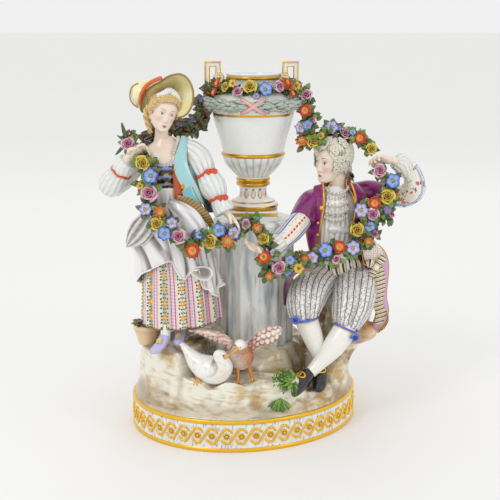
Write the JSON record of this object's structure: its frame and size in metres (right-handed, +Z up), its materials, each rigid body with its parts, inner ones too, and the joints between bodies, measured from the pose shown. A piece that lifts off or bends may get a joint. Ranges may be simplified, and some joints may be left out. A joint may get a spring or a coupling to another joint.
{
  "type": "porcelain figure group",
  "caption": "Painted porcelain group of a standing shepherdess and a seated gentleman hanging a flower garland on an urn, with doves, on an oval plinth.",
  "frame": {"origin": "centre of the oval plinth's flat underside", "axes": "+Z up, the figures face -Y, the shepherdess stands at -X and the gentleman sits at +X"},
  "size_m": [0.293, 0.1872, 0.33],
  "materials": {
    "porcelain": "clear glossy glaze over white porcelain, with painted enamel colours and gilding"
  },
  "bodies": {
    "root": {"porcelain_group": "porcelain"}
  },
  "joints": []
}
